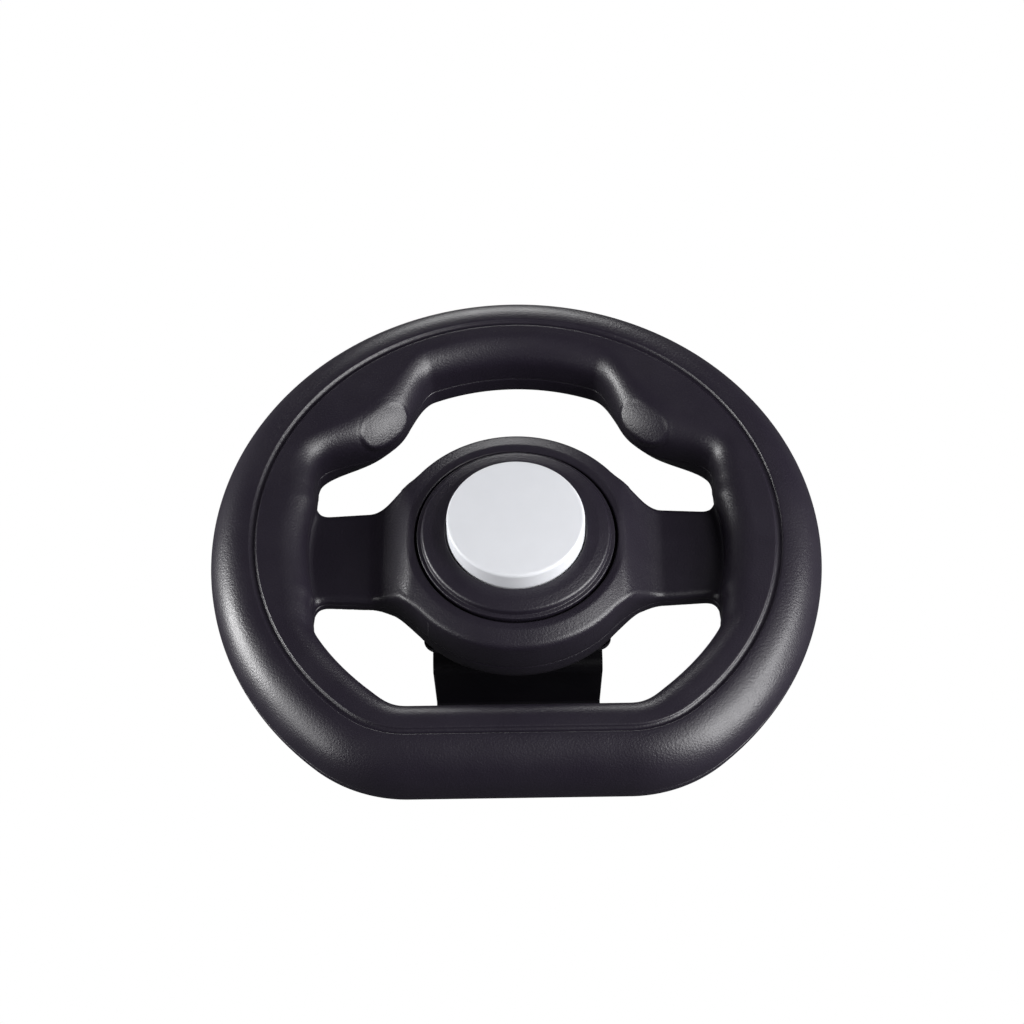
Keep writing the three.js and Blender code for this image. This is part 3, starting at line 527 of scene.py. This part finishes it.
def make_shells():
    """The front and rear shells, parted at the seam; the rear one is open at its screw wells.

    Grid lines stand close together at the groove, the lip of the hub, the seam and the face.
    """
    rings = graded(
        (8.0, 40.0, 4.0), (40.0, 48.0, 1.6), (48.0, 51.0, 0.5), (51.0, 66.0, 1.0), (66.0, 74.0, 1.1),
        (74.0, 92.0, 1.8), (92.0, 111.0, 1.0), (111.0, 125.6, 1.1), (125.6, 130.4, 0.35),
        (130.4, 146.0, 1.25), (146.0, 151.2, 0.8),
    )
    levels = graded(
        (59.0, 63.0, 0.7), (63.0, 71.7, 1.1), (71.7, 72.3, 0.3), (72.3, 72.7, 0.4), (72.7, 73.3, 0.3),
        (73.3, 92.0, 1.1), (92.0, 94.4, 0.6), (94.4, 97.2, 0.4),
    )
    x, y = station_grid(rings)
    values = field_on_grid(x, y, levels)
    vertices, quads, layer = surface_net(x, y, levels, values)
    seam = int(np.argmin(np.abs((levels[:-1] + levels[1:]) / 2 - PART_Z)))
    on_seam = layer == seam
    vertices[on_seam, 2] = PART_Z
    vertices = settle(vertices, on_seam)
    layers = layer[quads]
    front = quads[(layers >= seam).all(axis=1) & (layers > seam).any(axis=1)]
    rear = quads[(layers <= seam).all(axis=1)]
    centre = vertices[rear].mean(axis=1)
    keep = np.ones(len(rear), bool)
    for sx, sy in SCREW_SPOTS:
        close = np.hypot(centre[:, 0] - sx, centre[:, 1] - sy) < WELL_R + 1.1
        keep &= ~(close & (centre[:, 2] < BACK_Z + 2.0))
    pieces = []
    for name, part in (("front_shell_moulded", front), ("rear_shell_moulded", rear[keep])):
        pieces.append(mesh_object(name, *part_of(vertices, part)))
    return pieces


# ---- Turned, bent and wound pieces ----------------------------------------------------------


def rounded(section, steps=6):
    """The points of a closed section of (radius, height, corner round)."""
    points = []
    for k, (r, z, fillet) in enumerate(section):
        here = np.array([r, z])
        if fillet <= 0.0:
            points.append(here)
            continue
        before = np.array(section[k - 1][:2]) - here
        after = np.array(section[(k + 1) % len(section)][:2]) - here
        room = 0.48 * min(np.linalg.norm(before), np.linalg.norm(after))
        a = before / np.linalg.norm(before)
        b = after / np.linalg.norm(after)
        angle = math.acos(float(np.clip(a @ b, -0.9999, 0.9999)))
        reach = min(fillet / math.tan(angle / 2), room)
        radius = reach * math.tan(angle / 2)
        middle = (a + b) / np.linalg.norm(a + b)
        centre = here + middle * radius / math.sin(angle / 2)
        sweep = math.pi - angle
        for s in range(steps + 1):
            t = s / steps
            start, end = here + a * reach - centre, here + b * reach - centre
            spoke = (math.sin((1 - t) * sweep) * start + math.sin(t * sweep) * end) / math.sin(sweep)
            points.append(centre + spoke)
    return points


def turned(name, section, sides=128, steps=6):
    """A piece turned about the axle from a section that goes up on its outer side."""
    vertices, rings = [], []
    for r, z in rounded(section, steps):
        if r < 1e-6:
            rings.append([len(vertices)] * sides)
            vertices.append((0.0, 0.0, z))
            continue
        rings.append(list(range(len(vertices), len(vertices) + sides)))
        for k in range(sides):
            angle = 2 * math.pi * k / sides
            vertices.append((r * math.cos(angle), r * math.sin(angle), z))
    faces = []
    for low, high in zip(rings, rings[1:] + rings[:1]):
        if low[0] == low[1] and high[0] == high[1]:
            continue
        for k in range(sides):
            n = (k + 1) % sides
            corners = [low[k], low[n], high[n], high[k]]
            faces.append(list(dict.fromkeys(corners)))
    piece = mesh_object(name, vertices, faces)
    piece.data.set_sharp_from_angle(angle=math.radians(32))
    return piece


def applied(piece):
    """Fixes the piece's modifiers into its mesh."""
    graph = bpy.context.evaluated_depsgraph_get()
    mesh = bpy.data.meshes.new_from_object(piece.evaluated_get(graph))
    old = piece.data
    piece.modifiers.clear()
    piece.data = mesh
    bpy.data.meshes.remove(old)
    return piece


def combined(piece, operation, *tools):
    """Cuts the piece with the tools, or keeps what they share, and removes the tools."""
    for tool in tools:
        change = piece.modifiers.new("shape", "BOOLEAN")
        change.operation = operation
        change.object = tool
        change.solver = "EXACT"
    applied(piece)
    for tool in tools:
        bpy.data.objects.remove(tool)
    return piece


def softened(piece, width, segments=3, angle=30.0):
    """Rounds the piece's sharp edges by a width in millimetres."""
    bevel = piece.modifiers.new("edges", "BEVEL")
    bevel.width = width * MM
    bevel.segments = segments
    bevel.limit_method = "ANGLE"
    bevel.angle_limit = math.radians(angle)
    applied(piece)
    piece.data.polygons.foreach_set("use_smooth", [True] * len(piece.data.polygons))
    piece.data.set_sharp_from_angle(angle=math.radians(32))
    flatten = piece.modifiers.new("flat faces", "WEIGHTED_NORMAL")
    flatten.keep_sharp = True
    return applied(piece)


def prism(name, outline, bottom, top):
    """An upright prism on a flat outline that runs anticlockwise seen from above."""
    count = len(outline)
    vertices = [(x, y, bottom) for x, y in outline] + [(x, y, top) for x, y in outline]
    faces = [list(range(count))[::-1], list(range(count, 2 * count))]
    for k in range(count):
        n = (k + 1) % count
        faces.append([k, n, count + n, count + k])
    return mesh_object(name, vertices, faces, smooth=False)


def circle(radius, x=0.0, y=0.0, sides=32):
    angles = [2 * math.pi * k / sides for k in range(sides)]
    return [(x + radius * math.cos(a), y + radius * math.sin(a)) for a in angles]


def arc(cx, cy, radius, start, end, steps):
    angles = np.radians(np.linspace(start, end, steps + 1))
    return [(cx + radius * math.cos(a), cy + radius * math.sin(a)) for a in angles]


def make_bracket():
    """Hat-shaped sheet: top plate, two legs, two drilled feet with round corners."""
    leg = BRACKET_WIDTH / 2
    bend = SHEET + BEND_INNER_R
    top_y = leg - bend
    foot_y = leg + BEND_INNER_R
    top_z = BRACKET_HEIGHT - bend
    tip = leg + FOOT_LENGTH
    half = [(tip, 0.0), (tip, SHEET)]
    half += arc(foot_y, bend, BEND_INNER_R, 270, 180, 8) + arc(top_y, top_z, bend, 0, 90, 10)
    under = arc(top_y, top_z, BEND_INNER_R, 90, 0, 8) + arc(foot_y, bend, bend, 180, 270, 10)

    def mirrored(points):
        return [(-y, z) for y, z in reversed(points)]

    outline = half + mirrored(half) + mirrored(under) + under
    count = len(outline)
    stations = [-leg, leg]
    vertices = [(x, y, z) for x in stations for y, z in outline]
    faces = [list(range(count))[::-1], list(range(count, 2 * count))]
    for k in range(count):
        n = (k + 1) % count
        faces.append([k, n, count + n, count + k])
    bracket = mesh_object("bracket_bent", vertices, faces, smooth=False)
    corner_x = leg - FOOT_CORNER_R
    corner_y = tip - FOOT_CORNER_R
    plan = []
    for sx, sy, start in ((1, 1, 0), (-1, 1, 90), (-1, -1, 180), (1, -1, 270)):
        plan += arc(sx * corner_x, sy * corner_y, FOOT_CORNER_R, start, start + 90, 8)
    combined(bracket, "INTERSECT", prism("plan", plan, -5.0, BRACKET_HEIGHT + 5.0))
    holes = [
        prism("hole", circle(FOOT_HOLE_R, x, y, 40), -2.0, SHEET + 2.0)
        for x in (-FOOT_HOLE_X, FOOT_HOLE_X) for y in (-FOOT_HOLE_Y, FOOT_HOLE_Y)
    ]
    holes.append(prism("hole", circle(BOLT_HOLE_R, 0.0, 0.0, 40), top_z, BRACKET_HEIGHT + 2.0))
    combined(bracket, "DIFFERENCE", *holes)
    for vertex in bracket.data.vertices:
        below = (BRACKET_HEIGHT - bend) * MM - vertex.co.z
        if below > -1e-6:
            vertex.co.x *= LEG_NARROWING
    return softened(bracket, 0.6)


def make_spring(name, radius, wire, bottom, top, turns):
    """A wire coil whose two end turns lie closed."""
    steps, sides = turns * 36, 12
    heights = smooth_step((np.linspace(0, 1, steps + 1) - 0.12) / 0.76)
    vertices, faces = [], []
    for k, share in enumerate(heights):
        angle = 2 * math.pi * turns * k / steps
        z = bottom + wire + (top - bottom - 2 * wire) * share
        for s in range(sides):
            around = 2 * math.pi * s / sides
            out = radius + wire * math.cos(around)
            up = z + wire * math.sin(around)
            vertices.append((out * math.cos(angle), out * math.sin(angle), up))
    for k in range(steps):
        for s in range(sides):
            n = (s + 1) % sides
            faces.append([k * sides + s, (k + 1) * sides + s, (k + 1) * sides + n, k * sides + n])
    last = steps * sides
    faces.append(list(range(sides)))
    faces.append([last + s for s in reversed(range(sides))])
    return mesh_object(name, vertices, faces)


def make_screw(name, x, y, turn):
    """A pan-head screw in its well, head down, with a cross cut in the head."""
    head = SCREW_SEAT_Z - 2.6
    screw = turned(name, [
        (0.0, head, 0), (2.4, head, 1.2), (SCREW_HEAD_R, head + 1.3, 1.4),
        (SCREW_HEAD_R, SCREW_SEAT_Z, 0.2), (SCREW_R, SCREW_SEAT_Z, 0.2),
        (SCREW_R, SCREW_SEAT_Z + 17.5, 0.1), (0.0, SCREW_SEAT_Z + 20.0, 0),
    ], sides=32, steps=3)
    slots = []
    for lean in (turn, turn + math.pi / 2):
        c, s = math.cos(lean), math.sin(lean)
        corners = ((-2.1, -0.4), (2.1, -0.4), (2.1, 0.4), (-2.1, 0.4))
        blade = [(c * u - s * v, s * u + c * v) for u, v in corners]
        slots.append(prism("slot", blade, head - 1.0, head + 1.5))
    combined(screw, "DIFFERENCE", *slots)
    screw.data.polygons.foreach_set("use_smooth", [True] * len(screw.data.polygons))
    screw.data.set_sharp_from_angle(angle=math.radians(32))
    screw.data.transform(Matrix.Translation((x * MM, y * MM, 0.0)))
    return screw


def make_hexagon(name, radius, bottom, top):
    return softened(prism(name, circle(radius, sides=6), bottom, top), 0.7)


def make_well(name, x, y, lip, skirt=0.0):
    """The round wall of a screw's well, with a lip of this width on the rear shell's back.

    A skirt carries the lip's outer side up to that height, into the hub's rounded edge.
    """
    lip_z = BACK_Z - 0.35
    lip_r = WELL_R + lip
    floor_z = SCREW_SEAT_Z + 1.0
    section = [(WELL_R, lip_z, 0.3), (lip_r - 0.3, lip_z, 0.3), (lip_r, BACK_Z + 0.6, 0)]
    if skirt:
        section.append((lip_r, BACK_Z + skirt, 0))
    section += [
        (WELL_R + WELL_WALL, BACK_Z + 1.5, 0), (WELL_R + WELL_WALL, floor_z, 0),
        (SCREW_R + 0.2, floor_z, 0), (SCREW_R + 0.2, SCREW_SEAT_Z, 0), (WELL_R, SCREW_SEAT_Z, 0.2),
    ]
    well = turned(name, section, sides=40, steps=3)
    well.data.transform(Matrix.Translation((x * MM, y * MM, 0.0)))
    return well


# ---- Finishes -------------------------------------------------------------------------------

PATCH_SIZE = 25.0
SHADE_SIZE = 10.0


def finish(name, color, roughness, metallic=0.0, grain=0.6, depth=0.02, patchy=0.04,
           specular=0.5, uneven=0.12):
    """A finish with fine surface grain, slight patches of roughness and of shade.

    Grain is the size of its bumps and depth their height, in millimetres. Patchy is how far
    the roughness varies, and uneven how far the colour does.
    """
    material = bpy.data.materials.new(name)
    material.use_nodes = True
    nodes = material.node_tree.nodes
    links = material.node_tree.links
    shader = nodes["Principled BSDF"]
    shader.inputs["Metallic"].default_value = metallic
    shader.inputs["Specular IOR Level"].default_value = specular
    place = nodes.new("ShaderNodeTexCoord")

    def noise(size, detail):
        node = nodes.new("ShaderNodeTexNoise")
        node.inputs["Scale"].default_value = 1.0 / (size * MM)
        node.inputs["Detail"].default_value = detail
        links.new(place.outputs["Object"], node.inputs["Vector"])
        return node

    fine = noise(grain, 2.0)
    bump = nodes.new("ShaderNodeBump")
    bump.inputs["Distance"].default_value = depth * MM
    links.new(fine.outputs["Fac"], bump.inputs["Height"])
    links.new(bump.outputs["Normal"], shader.inputs["Normal"])

    broad = noise(PATCH_SIZE, 3.0)
    rough = nodes.new("ShaderNodeMapRange")
    rough.inputs["From Min"].default_value = 0.3
    rough.inputs["From Max"].default_value = 0.7
    rough.inputs["To Min"].default_value = roughness - patchy
    rough.inputs["To Max"].default_value = roughness + patchy
    links.new(broad.outputs["Fac"], rough.inputs["Value"])
    links.new(rough.outputs["Result"], shader.inputs["Roughness"])

    shade = nodes.new("ShaderNodeMix")
    shade.data_type = "RGBA"
    shade.inputs["A"].default_value = (*((1.0 - uneven) * c for c in color), 1.0)
    shade.inputs["B"].default_value = (*((1.0 + uneven) * c for c in color), 1.0)
    links.new(noise(SHADE_SIZE, 4.0).outputs["Fac"], shade.inputs["Factor"])
    links.new(shade.outputs["Result"], shader.inputs["Base Color"])
    return material


FINISHES = {
    "black_shell": finish(
        "black_moulded", (0.0115, 0.0090, 0.0155), 0.38, grain=1.0, depth=0.15, patchy=0.03,
    ),
    "white_cap": finish(
        "white_moulded", (0.59, 0.60, 0.63), 0.45, grain=0.8, depth=0.012, patchy=0.03,
        uneven=0.03,
    ),
    "inner_plastic": finish("inner_moulded", (0.02, 0.02, 0.022), 0.5),
    "coated_steel": finish(
        "powder_coat", (0.0022, 0.0017, 0.0032), 0.5, grain=0.9, depth=0.05, patchy=0.05,
        specular=0.2,
    ),
    "zinc_steel": finish(
        "bright_zinc", (0.55, 0.57, 0.58), 0.32, metallic=1.0, grain=0.5, depth=0.008,
        patchy=0.08,
    ),
    "spring_steel": finish("oiled_wire", (0.42, 0.43, 0.45), 0.28, metallic=1.0, depth=0.006),
    "nylon": finish("natural_nylon", (0.70, 0.67, 0.58), 0.42, grain=1.2, depth=0.01),
    "soft_rubber": finish("soft_rubber", (0.018, 0.018, 0.019), 0.65, grain=0.5, depth=0.02),
}
SLOT_OF_NODE = {entry["node"]: entry["material_slot"] for entry in frame["record"]["subparts"]}


def placed(piece, body, slot, *nodes):
    """Gives a piece its finish and its body, and hides the CAD nodes that it stands for."""
    piece.data.materials.clear()
    piece.data.materials.append(FINISHES[slot])
    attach(piece, body)
    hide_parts(*nodes)
    return piece


def dress_cad_nodes():
    """Gives every CAD node its finish, also those that no piece stands for."""
    for name, node in frame["nodes"].items():
        node.data.materials.clear()
        node.data.materials.append(FINISHES[SLOT_OF_NODE[name]])


# ---- The wheel and its bracket --------------------------------------------------------------

dress_cad_nodes()

front_shell, rear_shell = make_shells()
placed(front_shell, "wheel", "black_shell", "front_shell")
placed(rear_shell, "wheel", "black_shell", "rear_shell")

bezel = turned("bezel_turned", [
    (42.5, 89.0, 0), (47.7, 89.0, 0.3), (48.2, 93.4, 0), (48.2, 95.0, 0.35), (46.2, 95.2, 0.35),
    (45.9, 98.2, 1.7), (40.5, 99.4, 6.0), (34.3, 100.0, 0.6), (34.3, 97.2, 0.3), (42.5, 96.2, 0),
], sides=180)
placed(bezel, "wheel", "black_shell", "bezel")

button = turned("horn_button_turned", [
    (0.0, 105.2, 0), (8.0, 105.2, 0.3), (8.0, 107.2, 0.5), (31.0, 107.2, 1.0), (31.0, 93.9, 0.3),
    (38.0, 93.9, 0.4), (38.0, 96.2, 0.4), (33.5, 96.2, 0.3), (33.5, 109.75, 1.8), (0.0, 110.0, 0),
], sides=180)
placed(button, "button", "white_cap", "horn_button")

spring = make_spring("button_spring_coil", 22.0, 0.8, SEAT_TOP_Z, 107.0, 5)
placed(spring, "wheel", "spring_steel", "button_spring")
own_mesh(spring)

folds = [(9.0, SEAT_TOP_Z + 1.6, 0), (9.0, SEAT_TOP_Z, 0), (15.0, SEAT_TOP_Z, 0.3)]
inner_folds = []
for k in range(4):
    z = SEAT_TOP_Z + 1.5 + 3.5 * k
    folds += [(15.6, z, 0.7), (12.4, z + 1.75, 0.7)]
    inner_folds = [(10.8, z + 1.75, 0.4), (14.0, z, 0.4)] + inner_folds
folds += [(12.4, 105.0, 0.5), (0.0, 105.0, 0), (0.0, 103.4, 0)] + inner_folds[1:]
bellows = turned("squeaker_bellows_moulded", folds, sides=64, steps=3)
placed(bellows, "wheel", "soft_rubber", "squeaker_bellows")
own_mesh(bellows)

rear_bush = turned("rear_bush_turned", [
    (BUSH_BORE_R, 58.2, 0.4), (BUSH_FLANGE_R, 58.2, 0.5), (BUSH_FLANGE_R, BACK_Z, 0.2),
    (9.5, BACK_Z, 0.2), (9.5, 65.3, 0.4), (BUSH_BORE_R, 65.3, 0.3),
], sides=96, steps=3)
placed(rear_bush, "wheel", "nylon", "rear_bush")

thrust_washer = turned("thrust_washer_turned", [
    (BUSH_BORE_R, THRUST_BOTTOM_Z, 0.2), (BUSH_FLANGE_R, THRUST_BOTTOM_Z, 0.4),
    (BUSH_FLANGE_R, THRUST_TOP_Z, 0.4), (BUSH_BORE_R, THRUST_TOP_Z, 0.2),
], sides=96, steps=3)
placed(thrust_washer, "base", "nylon", "thrust_washer")

spacer = turned("spacer_tube_turned", [
    (BOLT_HOLE_R, BRACKET_HEIGHT, 0.3), (13.0, BRACKET_HEIGHT, 0.5),
    (13.0, THRUST_BOTTOM_Z, 0.8), (BOLT_HOLE_R, THRUST_BOTTOM_Z, 0.3),
], sides=96, steps=4)
placed(spacer, "base", "coated_steel", "spacer_tube")

head_washer = turned("bolt_head_washer_turned", [
    (BOLT_HOLE_R, HEAD_WASHER_BOTTOM_Z, 0.2), (10.5, HEAD_WASHER_BOTTOM_Z, 0.5),
    (10.5, PLATE_BOTTOM_Z, 0.2), (BOLT_HOLE_R, PLATE_BOTTOM_Z, 0.2),
], sides=96, steps=3)
placed(head_washer, "base", "zinc_steel", "bolt_head_washer")

bolt_head = make_hexagon("bolt_head_forged", 9.8, HEAD_WASHER_BOTTOM_Z - 6.4, HEAD_WASHER_BOTTOM_Z)
placed(bolt_head, "base", "zinc_steel")
bolt_shank = turned("axle_bolt_shank", [
    (0.0, 32.0, 0), (BOLT_R, 32.0, 0), (BOLT_R, 85.4, 0.8), (0.0, 85.4, 0),
], sides=48, steps=3)
placed(bolt_shank, "base", "zinc_steel", "axle_bolt")
placed(make_bracket(), "base", "coated_steel", "bracket")

for k, (x, y) in enumerate(SCREW_SPOTS):
    if k < RIM_SCREWS:
        node = f"rim_screw_{k + 1}"
        screw = make_screw(f"{node}_cut", x, y, 0.7 * k)
        well = make_well(f"{node}_well", x, y, RIM_WELL_LIP)
    else:
        node = f"hub_screw_{k - RIM_SCREWS + 1}"
        screw = make_screw(f"{node}_cut", x, y, 0.7 * k)
        well = make_well(f"{node}_well", x, y, HUB_WELL_LIP, HUB_WELL_SKIRT)
    placed(screw, "wheel", "zinc_steel", node)
    placed(well, "wheel", "black_shell")

# ---- Studio ---------------------------------------------------------------------------------

CAMERA_ELEVATION = 57.0
CAMERA_ROLL = 0.86
CAMERA_DISTANCE = 1.480  # this and the soft boxes are in metres
SOFT_BOX_DISTANCE = 1.3
SOFT_BOX_SIZE = 0.5
FLOOR_HALF_SIZE = 3000.0  # the floor is in millimetres, as the pieces are
FLOOR_Z = -0.3  # just under the feet, so that the two don't share a plane

scene = bpy.context.scene
scene.view_settings.view_transform = "Standard"
AIM = Vector((0.0, AXLE_Y * MM, FACE_Z * MM))

camera_data = bpy.data.cameras.new("camera")
camera_data.sensor_width = 36.0
camera_data.lens = 107.05
camera_data.shift_x = -0.0038
camera_data.shift_y = 0.0206
camera = bpy.data.objects.new("camera", camera_data)
scene.collection.objects.link(camera)
lean = math.radians(CAMERA_ELEVATION)
camera.location = AIM + CAMERA_DISTANCE * Vector((0.0, -math.cos(lean), math.sin(lean)))
turn = (AIM - camera.location).to_track_quat("-Z", "Y").to_matrix().to_4x4()
turn = turn @ Matrix.Rotation(math.radians(-CAMERA_ROLL), 4, "Z")
camera.rotation_euler = turn.to_euler()
scene.camera = camera


def soft_box(name, azimuth, elevation, power):
    """A square soft light aimed at the wheel, placed by its direction from it, in watts."""
    data = bpy.data.lights.new(name, "AREA")
    data.shape = "SQUARE"
    data.size = SOFT_BOX_SIZE
    data.energy = power
    light = bpy.data.objects.new(name, data)
    scene.collection.objects.link(light)
    a, e = math.radians(azimuth), math.radians(elevation)
    way = Vector((math.cos(a) * math.cos(e), math.sin(a) * math.cos(e), math.sin(e)))
    light.location = AIM + SOFT_BOX_DISTANCE * way
    light.rotation_euler = (-way).to_track_quat("-Z", "Y").to_euler()


soft_box("left_low", 174.0, 6.5, 21.0)
soft_box("left_front", 205.0, 10.0, 5.0)
soft_box("left_high", 195.0, 30.0, 2.5)
soft_box("right_low", -20.0, 6.0, 9.0)
soft_box("right_middle", 0.0, 24.0, 9.0)
soft_box("right_front", -32.0, 24.0, 8.0)
soft_box("right_high", -30.0, 42.0, 9.0)
soft_box("above_right", 0.0, 58.0, 3.0)
soft_box("back_low", 92.0, 6.0, 5.0)


def seen_white(tree, plain, bright, output, socket):
    """Shows the bright shader to the camera, and the plain one to light and reflections."""
    path = tree.nodes.new("ShaderNodeLightPath")
    mix = tree.nodes.new("ShaderNodeMixShader")
    tree.links.new(path.outputs["Is Camera Ray"], mix.inputs["Fac"])
    tree.links.new(plain.outputs[0], mix.inputs[1])
    tree.links.new(bright.outputs[0], mix.inputs[2])
    tree.links.new(mix.outputs[0], output.inputs[socket])


world = bpy.data.worlds.new("studio")
world.use_nodes = True
scene.world = world
tree = world.node_tree
dim = tree.nodes["Background"]
dim.inputs["Color"].default_value = (0.9, 0.88, 1.0, 1.0)
dim.inputs["Strength"].default_value = 0.02
white = tree.nodes.new("ShaderNodeBackground")
white.inputs["Color"].default_value = (1.0, 1.0, 1.0, 1.0)
white.inputs["Strength"].default_value = 1.0
seen_white(tree, dim, white, tree.nodes["World Output"], "Surface")

floor_material = bpy.data.materials.new("pale_floor")
floor_material.use_nodes = True
tree = floor_material.node_tree
matt = tree.nodes["Principled BSDF"]
matt.inputs["Base Color"].default_value = (0.03, 0.03, 0.033, 1.0)
matt.inputs["Roughness"].default_value = 0.9
glow = tree.nodes.new("ShaderNodeEmission")
glow.inputs["Color"].default_value = (1.0, 1.0, 1.0, 1.0)
glow.inputs["Strength"].default_value = 1.0
seen_white(tree, matt, glow, tree.nodes["Material Output"], "Surface")
floor_corners = [
    (side_x * FLOOR_HALF_SIZE, side_y * FLOOR_HALF_SIZE, FLOOR_Z)
    for side_x, side_y in ((-1, -1), (1, -1), (1, 1), (-1, 1))
]
floor = mesh_object("floor", floor_corners, [(0, 1, 2, 3)], smooth=False)
floor.data.materials.append(floor_material)
